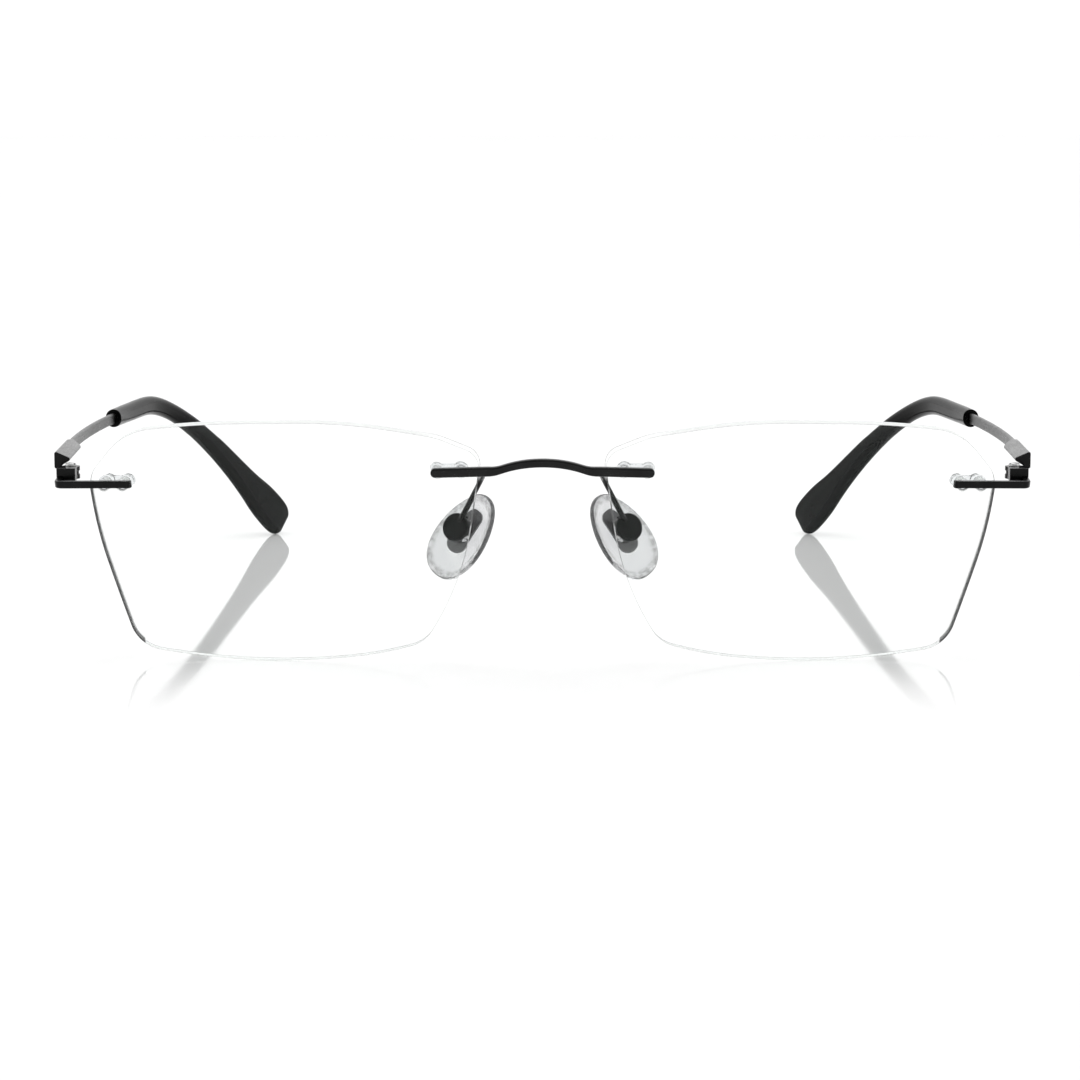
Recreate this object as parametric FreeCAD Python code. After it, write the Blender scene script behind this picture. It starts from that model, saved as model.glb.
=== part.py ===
import FreeCAD, Part
import math
import os
from FreeCAD import Vector

# Rimless eyeglasses, in millimetres.
# World frame: +X is the wearer's left, +Y points back along the temples, +Z is up.
# The glasses stand open on a table: the lens bottoms and the two temple tips touch z = 0.
# Everything is drawn for the wearer's left side (+X) and mirrored for the right side.

# ---- lenses ----
LENS_CENTRE_X = 36.5          # from the middle of the bridge to the middle of a lens
LENS_FRONT_RADIUS = 130.0     # a base curve of about 4
LENS_THICKNESS = 2.0
LENS_BULGE = 2.9              # how far the middle of the front stands before the lens frame's origin
WRAP = 5.0                    # degrees that each lens is turned back at its temple side
PANTOSCOPIC = 8.0             # degrees that the front leans, bottom towards the face
# Corners of the lens outline (towards the temple, up, rounding radius), all joined by tangent arcs.
LENS_CORNERS = [
    (-27.8, 13.1, 2.8), (-21.4, 15.85, 12.0), (-8.2, 18.05, 70.0), (11.5, 17.4, 110.0),
    (23.3, 15.6, 10.0), (28.8, 8.8, 4.7), (27.6, 0.9, 60.0), (22.2, -16.35, 5.0),
    (17.8, -16.85, 8.0), (3.1, -17.9, 120.0), (-12.8, -16.35, 57.0), (-19.7, -14.5, 5.2),
    (-25.2, -5.5, 40.0),
]
FRONT_ORIGIN = Vector(0, 2.4, 17.5)   # the lens plane's middle, set so that the lenses touch z = 0

# ---- compression mounts: two posts, a clear twin bushing and two drilled holes each ----
NASAL_U = -23.5               # middle of the bridge's two posts, from the lens centre
NASAL_V = 10.75
NASAL_POST_PITCH = 3.4
TEMPORAL_U = 25.1             # middle of the endpiece's two posts
TEMPORAL_V = 7.9
TEMPORAL_POST_PITCH = 2.9
LENS_HOLE_R = 0.75
SLEEVE_R = 0.72
SLEEVE_BORE_R = 0.43
POST_R = 0.4
POST_LENGTH = 3.1
SEAT_GAP = 0.10               # between the metal bars and the curved lens front
BACK_GAP = 0.22               # between the bushing's flat plate and the hollow lens back
PLATE_HEIGHT = 1.5
PLATE_THICKNESS = 0.8
HEAD_R = 0.95
HEAD_HEIGHT = 1.05

# ---- bridge ----
BRIDGE_BAR_HEIGHT = 1.36
BRIDGE_BAR_DEPTH = 1.05
BRIDGE_BAR_LIFT = 0.25        # the bar's middle line above its posts
BRIDGE_ARM_END = 2.75         # from the middle of the posts to the arm's outer end
BRIDGE_ARCH_HEIGHT = 1.14
BRIDGE_ARCH_RISE = 1.19
BRIDGE_ARCH_SPRING_X = 6.8    # where the arch springs from the arms
BRIDGE_ARCH_SLOPE = 0.34
BRIDGE_ROUNDING = 0.3

# ---- nose pads, their boxes and arms ----
PAD_BOX_CENTRE = Vector(12.37, 9.0, 18.65)
PAD_SPLAY = 32.0              # degrees between the pad's face normal and straight back
PAD_FRONTAL = 34.5            # degrees that the pad's long axis leans from vertical
PAD_SCREW_TURN = 15.0         # degrees that the pad screw is turned from the pad's short axis
PAD_LENGTH = 14.0
PAD_WIDTH = 8.8
PAD_THICKNESS = 2.2
PAD_OFFSET = 0.95             # how far the pad's middle is below its lug
PAD_TO_BOX = 2.8
PAD_CORE_LENGTH = 6.8
PAD_CORE_WIDTH = 2.8
PAD_CORE_THICKNESS = 0.5
PAD_LUG_THICKNESS = 1.0
PAD_LUG_R = 0.68
PAD_BOX_R = 2.08
PAD_BOX_HEIGHT = 1.9
PAD_BOX_WALL = 0.45
PAD_SLOT = 1.12
PAD_SCREW_LIFT = 0.25         # the pad screw's axis, above the middle of the box
PAD_SCREW_R = 0.46
PAD_SCREW_HEAD_R = 0.65
PAD_SCREW_HEAD_START = 1.75   # from the middle of the box
PAD_ARM_R = 0.42
PAD_ARM_START = Vector(8.2, -1.6, 28.0)   # inside the bridge's bar
PAD_ARM_KNEE = Vector(8.75, 3.4, 26.4)
PAD_ARM_KNEE_R = 2.6

# ---- endpieces ----
ENDPIECE_HEIGHT = 1.06
ENDPIECE_DEPTH = 0.9
ENDPIECE_INNER_END = 3.05     # from the middle of the posts to the bar's inner end
ENDPIECE_OUTER_X = 70.2
ENDPIECE_BEND_R = 1.1         # of the bar's middle line
ENDPIECE_LEG_END_Y = 9.4
ENDPIECE_ROUNDING = 0.2
ENDPIECE_LIFT = 0.15          # the bar's middle line above its posts
ENDPIECE_ROLL = 4.6           # degrees that the bar slopes down towards its outer end

# ---- hinges ----
HINGE = Vector(68.6, 11.0, 26.4)   # on the hinge screw's axis, at the middle of the fork's slot
FORK_R = 1.3
FORK_HEIGHT = 1.8
FORK_SLOT = 0.56
FORK_SLOT_FRONT = 1.45        # the slot starts this far before the axis
FORK_FRONT = 3.1              # the fork's front face, before the axis
FORK_OUTER_X = 70.25
SCREW_R = 0.46
SCREW_CLEARANCE = 0.03
SCREW_HEAD_R = 0.78
SCREW_HEAD_HEIGHT = 0.42
EYE_R = 1.15
EYE_THICKNESS = 0.48

# ---- spring housings and the sliders in them; distances are from the hinge axis ----
TEMPLE_OUT_ANGLE = 3.25       # degrees that a temple's front end heads outwards
TEMPLE_DIP = 0.56             # degrees that a temple slopes down towards its tip
TEMPLE_RISE = 1.55            # the temple's middle line above the slot's middle, at the hinge
HOUSING_START = 2.05
HOUSING_END = 22.0
HOUSING_TAPER = 17.0
HOUSING_INNER_X = -0.05
HOUSING_OUTER_X = 2.55
HOUSING_HEIGHT = 2.75
HOUSING_RIDGE = 0.2           # the inner ridge's height above the middle line
SLIDER_CAP_GAP = 0.06         # between the slider's end cap and the housing
SLIDER_CAP_LENGTH = 0.5
BORE_X = 1.78
BORE_R = 0.42
BORE_LENGTH = 11.5
COLLAR_LENGTH = 1.0
SHANK_R = 0.2
SHANK_HOLE_R = 0.24
NUT_R = 0.38
NUT_LENGTH = 0.8
SPRING_WIRE_R = 0.065
SPRING_COIL_R = 0.31
SPRING_TURNS = 9
SPRING_LENGTH = 6.6

# ---- temples ----
TEMPLE_THICKNESS = 0.8
TEMPLE_HEIGHT = 1.75
TEMPLE_START = 15.5           # the strip is soldered into the housing from here
TEMPLE_BOW_R = 329.0
TEMPLE_BOW_ANGLE = 11.35
TIP_COLLAR_Y = 65.5           # the tip sleeve's front end, from the hinge
TIP_BEND_R = 33.3
TIP_DROP = 46.4               # degrees that the tip's end points down
TIP_INWARD = 49.1             # degrees that it points inwards
TIP_STRAIGHT = 16.11          # from the end of the bend to the end of the middle line
CORE_R = 0.5
CORE_END_MARGIN = 10.0


# ---------------------------------------------------------------- drawing helpers

def rounded_wire(corners, lift):
    """A closed wire of lines and tangent arcs. corners: (a, b, radius); lift(a, b) gives a point."""
    count = len(corners)
    edges = []
    ends = []
    for i in range(count):
        before = Vector(corners[i - 1][0], corners[i - 1][1], 0)
        corner = Vector(corners[i][0], corners[i][1], 0)
        after = Vector(corners[(i + 1) % count][0], corners[(i + 1) % count][1], 0)
        radius = corners[i][2]
        to_before = (before - corner).normalize()
        to_after = (after - corner).normalize()
        if radius == 0:
            ends.append((corner, None, corner))
            continue
        half = to_before.getAngle(to_after) / 2
        reach = radius / math.tan(half)
        centre = corner + (to_before + to_after).normalize() * (radius / math.sin(half))
        middle = centre + (corner - centre).normalize() * radius
        ends.append((corner + to_before * reach, middle, corner + to_after * reach))
    for i in range(count):
        start, middle, end = ends[i]
        if middle is not None:
            arc = Part.Arc(lift(start.x, start.y), lift(middle.x, middle.y), lift(end.x, end.y))
            edges.append(arc.toShape())
        following = ends[(i + 1) % count][0]
        if (following - end).Length > 1e-4:
            edges.append(Part.makeLine(lift(end.x, end.y), lift(following.x, following.y)))
    return Part.Wire(edges)


def prism(corners, lift, direction):
    """A solid: the rounded outline, moved along direction."""
    return Part.Face(rounded_wire(corners, lift)).extrude(direction)


def rectangle(low_a, low_b, high_a, high_b, radius):
    """The corners of a rectangle, each with the same rounding radius."""
    places = [(low_a, low_b), (high_a, low_b), (high_a, high_b), (low_a, high_b)]
    return [(a, b, radius) for a, b in places]


def rounded_box(low, high, axis, radius):
    """A box whose edges along axis ("x", "y" or "z") are rounded."""
    size = high - low
    if axis == "x":
        corners = rectangle(low.y, low.z, high.y, high.z, radius)
        return prism(corners, lambda a, b: Vector(low.x, a, b), Vector(size.x, 0, 0))
    if axis == "y":
        corners = rectangle(low.x, low.z, high.x, high.z, radius)
        return prism(corners, lambda a, b: Vector(a, low.y, b), Vector(0, size.y, 0))
    corners = rectangle(low.x, low.y, high.x, high.y, radius)
    return prism(corners, lambda a, b: Vector(a, b, low.z), Vector(0, 0, size.z))


def box(low, high):
    size = high - low
    return Part.makeBox(size.x, size.y, size.z, low)


def cylinder(radius, start, end):
    return Part.makeCylinder(radius, (end - start).Length, start, end - start)


def placed(shape, angle, axis, position):
    """The shape turned about an axis through the origin and moved to position."""
    moved = shape.copy()
    moved.rotate(Vector(0, 0, 0), axis, angle)
    moved.translate(position)
    return moved


def tilted(shape):
    """From the upright front frame, with the lens plane's middle at its origin, to the world."""
    return placed(shape, PANTOSCOPIC, Vector(1, 0, 0), FRONT_ORIGIN)


def mirrored(shape):
    return shape.mirror(Vector(0, 0, 0), Vector(1, 0, 0))


# ---------------------------------------------------------------- the front's frames

def surface_drop(u, v):
    """How far the front surface stands before the lens frame's origin at (u, v)."""
    return LENS_BULGE - (u * u + v * v) / (2 * LENS_FRONT_RADIUS)


def seat(shape, u, v):
    """From a mount's own frame to the front frame.

    The mount's frame has its origin on the lens front, x towards the temple along the lens,
    y straight through the lens to its back and z up."""
    turn = WRAP + math.degrees(math.asin(u / LENS_FRONT_RADIUS))
    wrap = math.radians(WRAP)
    before = surface_drop(u, v)
    x = LENS_CENTRE_X + u * math.cos(wrap) + before * math.sin(wrap)
    y = u * math.sin(wrap) - before * math.cos(wrap)
    return placed(shape, turn, Vector(0, 0, 1), Vector(x, y, v))


def post_places(pitch):
    return [-pitch / 2, pitch / 2]


def on_bridge_mount(shape):
    """From the bridge mount's own frame to the world."""
    return tilted(seat(shape, NASAL_U, NASAL_V))


def on_endpiece(shape):
    """From the endpiece mount's own frame to the world."""
    rolled = placed(shape, ENDPIECE_ROLL, Vector(0, 1, 0), Vector(0, 0, 0))
    return tilted(seat(rolled, TEMPORAL_U, TEMPORAL_V))


# ---------------------------------------------------------------- lenses and bushings

def lens_holes(pitch):
    holes = [cylinder(LENS_HOLE_R, Vector(x, -3, 0), Vector(x, 6, 0)) for x in post_places(pitch)]
    return Part.makeCompound(holes)


def make_lens():
    outline = prism(LENS_CORNERS, lambda a, b: Vector(a, -8, b), Vector(0, 16, 0))
    centre = Vector(0, LENS_FRONT_RADIUS - LENS_BULGE, 0)
    outer = Part.makeSphere(LENS_FRONT_RADIUS, centre)
    inner = Part.makeSphere(LENS_FRONT_RADIUS - LENS_THICKNESS, centre)
    blank = outline.common(outer).cut(inner)
    blank = placed(blank, WRAP, Vector(0, 0, 1), Vector(LENS_CENTRE_X, 0, 0))
    blank = tilted(blank).cut(on_bridge_mount(lens_holes(NASAL_POST_PITCH)))
    return blank.cut(on_endpiece(lens_holes(TEMPORAL_POST_PITCH)))


def make_bushing(pitch, inner_end, outer_end):
    """A clear twin bushing: a plate and two heads behind the lens, two sleeves through it."""
    back = LENS_THICKNESS + BACK_GAP
    half = PLATE_HEIGHT / 2
    body = rounded_box(
        Vector(inner_end, back, -half), Vector(outer_end, back + PLATE_THICKNESS, half), "y", 0.7)
    for x in post_places(pitch):
        body = body.fuse(cylinder(SLEEVE_R, Vector(x, SEAT_GAP, 0), Vector(x, back + 0.1, 0)))
        body = body.fuse(cylinder(HEAD_R, Vector(x, back, 0), Vector(x, back + HEAD_HEIGHT, 0)))
    for x in post_places(pitch):
        body = body.cut(cylinder(SLEEVE_BORE_R, Vector(x, -1, 0), Vector(x, back + HEAD_HEIGHT + 1, 0)))
    return body.removeSplitter()


def make_posts(pitch):
    """The two posts, reaching from inside the metal bar through lens and bushing."""
    return [cylinder(POST_R, Vector(x, -SEAT_GAP - 0.3, 0), Vector(x, POST_LENGTH, 0))
            for x in post_places(pitch)]


# ---------------------------------------------------------------- bridge

def bridge_front_view():
    """The bridge as seen from the front: two straight arms and a low arch."""
    end = LENS_CENTRE_X + (NASAL_U + BRIDGE_ARM_END) * math.cos(math.radians(WRAP))
    middle = NASAL_V + BRIDGE_BAR_LIFT
    top = middle + BRIDGE_BAR_HEIGHT / 2
    bottom = middle - BRIDGE_BAR_HEIGHT / 2
    spring = BRIDGE_ARCH_SPRING_X
    crown = spring * BRIDGE_ARCH_SLOPE
    thinning = (BRIDGE_BAR_HEIGHT - BRIDGE_ARCH_HEIGHT) / 2
    end_r = BRIDGE_BAR_HEIGHT / 2 - 0.02
    half = [
        (end, bottom, end_r), (end, top, end_r), (spring - 0.2, top, 5.0),
    ]
    lower = (-(spring + 0.2), bottom, 5.0)
    rise = crown - thinning
    corners = half + [(0, top + rise, 17.0)]
    corners += [(-x, z, r) for x, z, r in reversed(half)]
    corners += [lower, (0, bottom + crown + thinning, 17.0), (-lower[0], lower[1], lower[2])]
    return corners


def bridge_top_view():
    """The bridge from above: arms lying on the lens fronts, the arch slightly forward."""
    def on_arm(distance, height):
        point = seat(Part.Vertex(distance, -height, 0), NASAL_U, NASAL_V).Point
        return point.x, point.y

    outer_back = on_arm(BRIDGE_ARM_END + 1, SEAT_GAP)
    outer_front = on_arm(BRIDGE_ARM_END + 1, SEAT_GAP + BRIDGE_BAR_DEPTH)
    inner_back = on_arm(-5.2, SEAT_GAP)
    inner_front = on_arm(-5.2, SEAT_GAP + BRIDGE_BAR_DEPTH)
    bow = 0.45
    side = [outer_back + (0,), outer_front + (0,), inner_front + (6.0,)]
    corners = side + [(0, inner_front[1] - bow, 30.0)]
    corners += [(-a, b, r) for a, b, r in reversed(side)]
    corners += [(-inner_back[0], inner_back[1], 6.0), (0, inner_back[1] - bow, 30.0)]
    corners += [(inner_back[0], inner_back[1], 6.0)]
    return corners


def make_bridge():
    front = prism(bridge_front_view(), lambda a, b: Vector(a, -9, b), Vector(0, 14, 0))
    top = prism(bridge_top_view(), lambda a, b: Vector(a, b, 0), Vector(0, 0, 20))
    bar = front.common(top)
    bar = bar.makeFillet(BRIDGE_ROUNDING, long_edges(bar, 1.5))
    posts = [seat(post, NASAL_U, NASAL_V) for post in make_posts(NASAL_POST_PITCH)]
    bar = bar.fuse(posts + [mirrored(post) for post in posts])
    return tilted(bar.removeSplitter())


def long_edges(shape, shortest):
    return [edge for edge in shape.Edges if edge.Length > shortest]


# ---------------------------------------------------------------- endpieces

def make_endpiece():
    """A bar on the lens front that turns back at its outer end towards the hinge."""
    turn = WRAP + math.degrees(math.asin(TEMPORAL_U / LENS_FRONT_RADIUS))
    sin_turn = math.sin(math.radians(turn))
    cos_turn = math.cos(math.radians(turn))
    seat_point = seat(Part.Vertex(0, 0, 0), TEMPORAL_U, TEMPORAL_V).Point
    low_z = ENDPIECE_LIFT - ENDPIECE_HEIGHT / 2
    high_z = ENDPIECE_LIFT + ENDPIECE_HEIGHT / 2
    low_y = -SEAT_GAP - ENDPIECE_DEPTH
    # The bend's centre is one bend radius inside the leg's middle line and one behind the bar's.
    centre_y = low_y + ENDPIECE_DEPTH / 2 + ENDPIECE_BEND_R
    centre_world_x = ENDPIECE_OUTER_X - ENDPIECE_DEPTH / 2 - ENDPIECE_BEND_R
    bend_x = (centre_world_x - seat_point.x + centre_y * sin_turn) / cos_turn
    bar = rounded_box(
        Vector(-ENDPIECE_INNER_END, low_y, low_z), Vector(bend_x, -SEAT_GAP, high_z), "x", ENDPIECE_ROUNDING)
    chamfer = Part.makeBox(0.5, 0.5, 3, Vector(-ENDPIECE_INNER_END - 0.25, low_y - 0.25, -1.5))
    chamfer.rotate(Vector(-ENDPIECE_INNER_END, low_y, 0), Vector(0, 0, 1), 45)
    corners = rectangle(low_y, low_z, -SEAT_GAP, high_z, ENDPIECE_ROUNDING)
    section = Part.Face(rounded_wire(corners, lambda a, b: Vector(bend_x, a, b)))
    centre = Vector(bend_x, centre_y, 0)
    bend = section.revolve(centre, Vector(0, 0, 1), 90 - turn)
    start_y = seat_point.y + bend_x * sin_turn + centre_y * cos_turn
    end_y = (ENDPIECE_LEG_END_Y - FRONT_ORIGIN.y + TEMPORAL_V * math.sin(math.radians(PANTOSCOPIC)))
    leg = section.extrude(Vector(end_y - start_y, 0, 0))
    leg.rotate(centre, Vector(0, 0, 1), 90 - turn)
    solid = bar.cut(chamfer).fuse([bend, leg] + make_posts(TEMPORAL_POST_PITCH))
    return on_endpiece(solid.removeSplitter())


# ---------------------------------------------------------------- hinge

def make_hinge_fork(endpiece):
    """Two knuckles on a web, soldered round the endpiece's leg; the slot is open at the back."""
    low_z = HINGE.z - FORK_HEIGHT / 2
    high_z = HINGE.z + FORK_HEIGHT / 2
    inner_x = HINGE.x - FORK_R
    web = rounded_box(
        Vector(inner_x + 0.25, HINGE.y - FORK_FRONT, low_z), Vector(FORK_OUTER_X, HINGE.y, high_z), "x", 0.15)
    knuckles = cylinder(FORK_R, Vector(HINGE.x, HINGE.y, low_z), Vector(HINGE.x, HINGE.y, high_z))
    body = web.fuse(knuckles)
    slot = box(
        Vector(inner_x - 1, HINGE.y - FORK_SLOT_FRONT, HINGE.z - FORK_SLOT / 2),
        Vector(FORK_OUTER_X + 1, HINGE.y + 3, HINGE.z + FORK_SLOT / 2))
    hole = cylinder(
        SCREW_R + SCREW_CLEARANCE, Vector(HINGE.x, HINGE.y, low_z - 1), Vector(HINGE.x, HINGE.y, high_z + 1))
    return body.cut(slot).cut(hole).cut(endpiece)


def make_hinge_screw():
    low_z = HINGE.z - FORK_HEIGHT / 2
    high_z = HINGE.z + FORK_HEIGHT / 2 + 0.02
    shaft = cylinder(SCREW_R, Vector(HINGE.x, HINGE.y, low_z), Vector(HINGE.x, HINGE.y, high_z))
    top = high_z + SCREW_HEAD_HEIGHT
    head = cylinder(SCREW_HEAD_R, Vector(HINGE.x, HINGE.y, high_z), Vector(HINGE.x, HINGE.y, top))
    head = head.makeFillet(0.15, [head.Edges[0]])
    groove = box(
        Vector(HINGE.x - 1, HINGE.y - 0.12, top - 0.2), Vector(HINGE.x + 1, HINGE.y + 0.12, top + 1))
    groove.rotate(HINGE, Vector(0, 0, 1), 35)
    return shaft.fuse(head).removeSplitter().cut(groove)


def on_temple(shape):
    """From a temple's own frame, with the hinge at its origin and y along it, to the world."""
    dipped = placed(shape, -TEMPLE_DIP, Vector(1, 0, 0), Vector(0, 0, 0))
    return placed(dipped, -TEMPLE_OUT_ANGLE, Vector(0, 0, 1), HINGE)


def make_slider():
    """An eye on the hinge screw, stepped up to an end cap and a thin shank in the housing."""
    half = EYE_THICKNESS / 2
    cap_end = HOUSING_START - SLIDER_CAP_GAP
    cap_start = cap_end - SLIDER_CAP_LENGTH
    eye = cylinder(EYE_R, Vector(0, 0, -half), Vector(0, 0, half))
    plate = box(Vector(0, 0, -half), Vector(BORE_X + 0.35, cap_end, half))
    step = box(Vector(BORE_X - 0.35, cap_start, -half), Vector(BORE_X + 0.35, cap_end, TEMPLE_RISE))
    cap = prism(housing_section(), lambda a, b: Vector(a, cap_start, b), Vector(0, SLIDER_CAP_LENGTH, 0))
    shank_end = HOUSING_START + COLLAR_LENGTH + SPRING_LENGTH + NUT_LENGTH
    shank = cylinder(
        SHANK_R, Vector(BORE_X, cap_start + 0.1, TEMPLE_RISE), Vector(BORE_X, shank_end, TEMPLE_RISE))
    body = eye.fuse(plate).fuse(step).fuse(cap).fuse(shank).removeSplitter()
    hole = cylinder(SCREW_R + SCREW_CLEARANCE, Vector(0, 0, -2), Vector(0, 0, 2))
    return on_temple(body.cut(hole))


def make_slider_nut():
    start = HOUSING_START + COLLAR_LENGTH + SPRING_LENGTH
    nut = cylinder(NUT_R, Vector(BORE_X, start, TEMPLE_RISE), Vector(BORE_X, start + NUT_LENGTH, TEMPLE_RISE))
    hole = cylinder(SHANK_R + 0.01, Vector(BORE_X, start - 1, TEMPLE_RISE),
                    Vector(BORE_X, start + NUT_LENGTH + 1, TEMPLE_RISE))
    return on_temple(nut.cut(hole))


def make_slider_spring():
    """The compression spring between the housing's collar and the nut."""
    length = SPRING_LENGTH - 2 * SPRING_WIRE_R - 0.1
    helix = Part.makeHelix(length / SPRING_TURNS, length, SPRING_COIL_R)
    start = Vector(SPRING_COIL_R, 0, 0)
    profile = Part.Wire(Part.makeCircle(SPRING_WIRE_R, start, Vector(0, 1, 0)))
    coil = Part.Wire(helix).makePipeShell([profile], True, True)
    coil.rotate(Vector(0, 0, 0), Vector(1, 0, 0), -90)
    first = HOUSING_START + COLLAR_LENGTH + SPRING_WIRE_R + 0.05
    coil.translate(Vector(BORE_X, first, TEMPLE_RISE))
    return on_temple(coil)


def housing_section():
    """The housing's three corners, seen along the temple, with their rounding radii."""
    half = HOUSING_HEIGHT / 2
    return [
        (HOUSING_OUTER_X, TEMPLE_RISE - half, 0.25), (HOUSING_OUTER_X, TEMPLE_RISE + half, 0.25),
        (HOUSING_INNER_X, TEMPLE_RISE + HOUSING_RIDGE, 0.3),
    ]


def make_housing(temple):
    """The spring housing: a rounded triangular tube on the temple's front end."""
    half = HOUSING_HEIGHT / 2
    z = TEMPLE_RISE
    length = HOUSING_END - HOUSING_START
    body = prism(housing_section(), lambda a, b: Vector(a, HOUSING_START, b), Vector(0, length, 0))
    outer = HOUSING_OUTER_X + 1
    inner = HOUSING_INNER_X - 0.2
    from_above = [
        (outer, HOUSING_START - 1, 0), (outer, HOUSING_END, 0),
        (HOUSING_OUTER_X - TEMPLE_THICKNESS - 0.12, HOUSING_END, 0), (inner, HOUSING_TAPER, 6.0),
        (inner, HOUSING_START - 1, 0),
    ]
    body = body.common(prism(from_above, lambda a, b: Vector(a, b, z - 3), Vector(0, 0, 6)))
    thin = TEMPLE_HEIGHT / 2 + 0.12
    from_side = [
        (HOUSING_START - 1, z - half - 0.1, 0), (HOUSING_TAPER - 4, z - half - 0.1, 8.0),
        (HOUSING_END, z - thin, 0), (HOUSING_END, z + thin, 0),
        (HOUSING_TAPER - 4, z + half + 0.1, 8.0), (HOUSING_START - 1, z + half + 0.1, 0),
    ]
    body = body.common(prism(from_side, lambda a, b: Vector(-2, a, b), Vector(8, 0, 0)))
    bore_start = HOUSING_START + COLLAR_LENGTH
    bore = cylinder(BORE_R, Vector(BORE_X, bore_start, z), Vector(BORE_X, HOUSING_START + BORE_LENGTH, z))
    mouth = cylinder(SHANK_HOLE_R, Vector(BORE_X, HOUSING_START - 1, z), Vector(BORE_X, bore_start + 0.1, z))
    body = body.cut(bore).cut(mouth)
    return on_temple(body).cut(temple)


# ---------------------------------------------------------------- temples

def temple_path():
    """Points and headings along a temple's middle line, in the temple's own frame."""
    x = HOUSING_OUTER_X - TEMPLE_THICKNESS / 2
    start = Vector(x, TEMPLE_START, TEMPLE_RISE)
    bow_start = Vector(x, HOUSING_END, TEMPLE_RISE)
    bow_centre = bow_start - Vector(TEMPLE_BOW_R, 0, 0)
    turn = math.radians(TEMPLE_BOW_ANGLE)
    bow_end = bow_centre + Vector(math.cos(turn), math.sin(turn), 0) * TEMPLE_BOW_R
    heading = Vector(-math.sin(turn), math.cos(turn), 0)
    inward = math.radians(TIP_INWARD + TEMPLE_OUT_ANGLE)
    drop = math.radians(TIP_DROP)
    last = Vector(-math.sin(inward) * math.cos(drop), math.cos(inward) * math.cos(drop), -math.sin(drop))
    bend_axis = heading.cross(last).normalize()
    bend_angle = heading.getAngle(last)
    to_centre = bend_axis.cross(heading).normalize()
    bend_centre = bow_end + to_centre * TIP_BEND_R
    bend_end = turned(bow_end, bend_centre, bend_axis, bend_angle)
    return {
        "start": start, "bow_start": bow_start, "bow_centre": bow_centre, "bow_end": bow_end,
        "bend_centre": bend_centre, "bend_axis": bend_axis, "bend_angle": bend_angle,
        "bend_end": bend_end, "last": last, "heading": heading,
    }


def turned(point, centre, axis, angle):
    return centre + FreeCAD.Rotation(axis, math.degrees(angle)).multVec(point - centre)


def frame_on_path(path, distance):
    """The point, heading and up direction at a distance after the bow's start."""
    up = Vector(0, 0, 1)
    bow_length = TEMPLE_BOW_R * math.radians(TEMPLE_BOW_ANGLE)
    bend_length = TIP_BEND_R * path["bend_angle"]
    angle = min(distance, bow_length) / TEMPLE_BOW_R
    point = turned(path["bow_start"], path["bow_centre"], up, angle)
    heading = Vector(-math.sin(angle), math.cos(angle), 0)
    rest = distance - bow_length
    if rest > 0:
        bend = min(rest, bend_length) / TIP_BEND_R
        turn = FreeCAD.Rotation(path["bend_axis"], math.degrees(bend))
        point = turned(point, path["bend_centre"], path["bend_axis"], bend)
        heading = turn.multVec(heading)
        up = turn.multVec(up)
    rest -= bend_length
    if rest > 0:
        point = point + heading * rest
    return point, heading, up


def make_temple():
    """The metal strip, and the thinner wire that carries the tip."""
    path = temple_path()
    half_x = TEMPLE_THICKNESS / 2
    half_z = TEMPLE_HEIGHT / 2
    start = path["start"]
    end = Vector(start.x, HOUSING_END, start.z)
    half = Vector(half_x, 0, half_z)
    strip = rounded_box(start - half, end + half, "y", 0.3)
    strip_face = [face for face in strip.Faces if abs(face.CenterOfMass.y - HOUSING_END) < 1e-6][0]
    strip_angle = math.asin((TIP_COLLAR_Y + 2 - HOUSING_END) / TEMPLE_BOW_R)
    strip_arc = strip_face.revolve(path["bow_centre"], Vector(0, 0, 1), math.degrees(strip_angle))
    joint, heading, _ = frame_on_path(path, strip_angle * TEMPLE_BOW_R)
    wire_face = Part.Face(Part.Wire(Part.makeCircle(CORE_R, joint, heading)))
    rest_of_bow = TEMPLE_BOW_ANGLE - math.degrees(strip_angle)
    wire_bow = wire_face.revolve(path["bow_centre"], Vector(0, 0, 1), rest_of_bow)
    bend_face = Part.Face(Part.Wire(Part.makeCircle(CORE_R, path["bow_end"], path["heading"])))
    wire_bend = bend_face.revolve(
        path["bend_centre"], path["bend_axis"], math.degrees(path["bend_angle"]))
    end = path["bend_end"] + path["last"] * (TIP_STRAIGHT - CORE_END_MARGIN)
    wire_end = cylinder(CORE_R, path["bend_end"], end)
    body = strip.fuse([strip_arc, wire_bow, wire_bend, wire_end]).removeSplitter()
    return on_temple(body)


def tip_sections():
    """(distance after the bow's start, height, thickness) along the tip sleeve."""
    collar = TIP_COLLAR_Y - HOUSING_END
    bow = TEMPLE_BOW_R * math.radians(TEMPLE_BOW_ANGLE)
    bend = bow + TIP_BEND_R * temple_path()["bend_angle"]
    end = bend + TIP_STRAIGHT
    return [
        (collar, 3.0, 2.6), (collar + 1.6, 3.05, 2.5), (collar + 4.0, 3.1, 2.4), (bow - 8, 3.2, 2.4),
        (bow + 8, 3.2, 2.5), (bend - 12, 3.4, 2.6), (bend - 2, 4.25, 2.6), (bend + 5, 5.5, 2.5),
        (end - 5.5, 7.15, 2.4), (end - 2.2, 7.1, 2.2), (end - 0.6, 6.0, 1.7), (end, 4.6, 1.2),
    ]


def stadium(point, heading, up, height, thickness):
    """A closed wire with flat sides and round top and bottom, square to the heading."""
    side = heading.cross(up).normalize() * (thickness / 2)
    lift = up * ((height - thickness) / 2)
    cap = up * (height / 2)
    top = Part.Arc(point + lift - side, point + cap, point + lift + side).toShape()
    down = Part.makeLine(point + lift + side, point - lift + side)
    bottom = Part.Arc(point - lift + side, point - cap, point - lift - side).toShape()
    rise = Part.makeLine(point - lift - side, point + lift - side)
    return Part.Wire([top, down, bottom, rise])


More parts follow.
